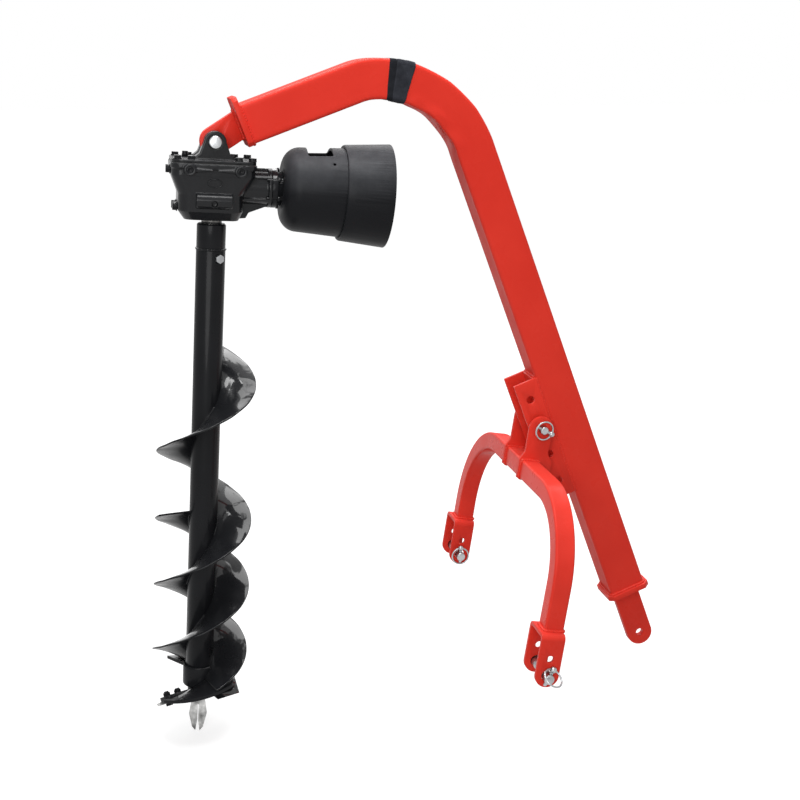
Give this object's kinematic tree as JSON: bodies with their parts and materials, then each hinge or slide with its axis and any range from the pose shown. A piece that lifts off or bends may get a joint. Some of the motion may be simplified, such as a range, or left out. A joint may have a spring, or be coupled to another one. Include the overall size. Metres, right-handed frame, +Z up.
{
  "type": "earth auger drive",
  "caption": "Tractor-mounted post hole digger: bent square boom, hinged yoke for the lower links, right-angle gearbox with shielded input shaft, and a flighted earth auger with cutting teeth.",
  "frame": {"origin": "centre of the top-link bore in the tongue at the boom's foot", "axes": "+X points from the auger side to the tractor side, +Y across the machine along the pins, +Z up"},
  "size_m": [1.2489, 0.9168, 1.5725],
  "materials": {
    "red_paint": "gloss",
    "black_paint": "gloss",
    "black_casting": "satin",
    "zinc_plate": "satin",
    "tool_steel": "satin",
    "gear_steel": "satin",
    "bearing_steel": "polished",
    "shield_plastic": "satin",
    "tape": "matte",
    "seal_rubber": "matte"
  },
  "bodies": {
    "boom": {"boom_tube": "red_paint", "boom_wrap": "tape", "boom_tip_plate": "red_paint", "boom_tip_tongue": "red_paint", "boom_foot_plate": "red_paint", "boom_foot_tongue": "red_paint", "yoke_bracket": "red_paint"},
    "yoke": {"yoke_cross_tube": "red_paint", "yoke_leg_near": "red_paint", "yoke_leg_far": "red_paint", "yoke_ear_near": "red_paint", "yoke_ear_far": "red_paint", "clevis_near": "red_paint", "clevis_far": "red_paint", "yoke_pin": "zinc_plate", "yoke_linch_pin": "zinc_plate", "lower_pin_near": "zinc_plate", "lower_pin_far": "zinc_plate", "lower_linch_pin_near": "zinc_plate", "lower_linch_pin_far": "zinc_plate"},
    "yoke_ring": {"yoke_linch_ring": "zinc_plate"},
    "lower_ring_near": {"lower_linch_ring_near": "zinc_plate"},
    "lower_ring_far": {"lower_linch_ring_far": "zinc_plate"},
    "gearbox": {"gearbox_housing": "black_casting", "gearbox_cover": "black_casting", "cover_gasket": "seal_rubber", "cover_bolts": "black_paint", "back_plugs": "black_paint", "side_plugs": "black_paint", "breather": "black_paint", "tip_pin": "zinc_plate", "tip_washer": "zinc_plate", "tip_cotter": "zinc_plate", "input_cap": "black_paint", "cap_screws": "zinc_plate", "output_bearings_outer": "bearing_steel", "input_bearings_outer": "bearing_steel", "shaft_seals": "seal_rubber", "shield_bell": "shield_plastic", "shield_clamp": "shield_plastic"},
    "sleeve": {"shield_sleeve": "shield_plastic"},
    "auger": {"output_shaft": "gear_steel", "crown_gear": "gear_steel", "output_bearings_inner": "bearing_steel", "auger_hub": "black_paint", "auger_tube": "black_paint", "shear_bolt": "zinc_plate", "shear_nut": "zinc_plate", "flight_long": "black_paint", "flight_short": "black_paint", "cutter_flights": "black_paint", "bottom_collar": "black_paint", "cutter_bar": "black_paint", "teeth": "tool_steel", "tooth_bolts": "zinc_plate", "pilot_bit": "tool_steel"},
    "input": {"pinion_shaft": "gear_steel", "input_bearings_inner": "bearing_steel"}
  },
  "joints": [
    {"name": "yoke_pivot", "type": "hinge", "parent": "boom", "child": "yoke", "pos_m": [-0.28943, 0, 0.56438], "axis": [0, 1, 0], "range_deg": [-4, 95]},
    {"name": "gearbox_swing", "type": "hinge", "parent": "boom", "child": "gearbox", "pos_m": [-1.0342, 0, 1.2393], "axis": [0, 1, 0], "range_deg": [-7, 45]},
    {"name": "auger_spin", "type": "hinge", "parent": "gearbox", "child": "auger", "pos_m": [-1.04002, 0, 1.14348], "axis": [0.0606, 0, 0.9982], "continuous": true},
    {"name": "input_spin", "type": "hinge", "parent": "gearbox", "child": "input", "pos_m": [-1.04002, 0, 1.14348], "axis": [0.9982, 0, -0.0606], "continuous": true},
    {"name": "sleeve_slide", "type": "slide", "parent": "gearbox", "child": "sleeve", "axis": [0.9956, 0, -0.0937], "range_m": [-0.09, 0]},
    {"name": "yoke_ring_hinge", "type": "hinge", "parent": "yoke", "child": "yoke_ring", "pos_m": [-0.27019, -0.073, 0.55371], "axis": [-0.4848, 0, -0.8746], "range_deg": [-100, 12]},
    {"name": "lower_ring_near_hinge", "type": "hinge", "parent": "yoke", "child": "lower_ring_near", "pos_m": [-0.37304, -0.4385, 0.129], "axis": [0.8746, 0, -0.4848], "range_deg": [-60, 58]},
    {"name": "lower_ring_far_hinge", "type": "hinge", "parent": "yoke", "child": "lower_ring_far", "pos_m": [-0.38294, 0.3315, 0.13175], "axis": [0.9994, 0, -0.0349], "range_deg": [-120, 0]}
  ],
  "couplings": [
    {"joint": "input_spin", "follows": "auger_spin", "ratio": -3}
  ]
}
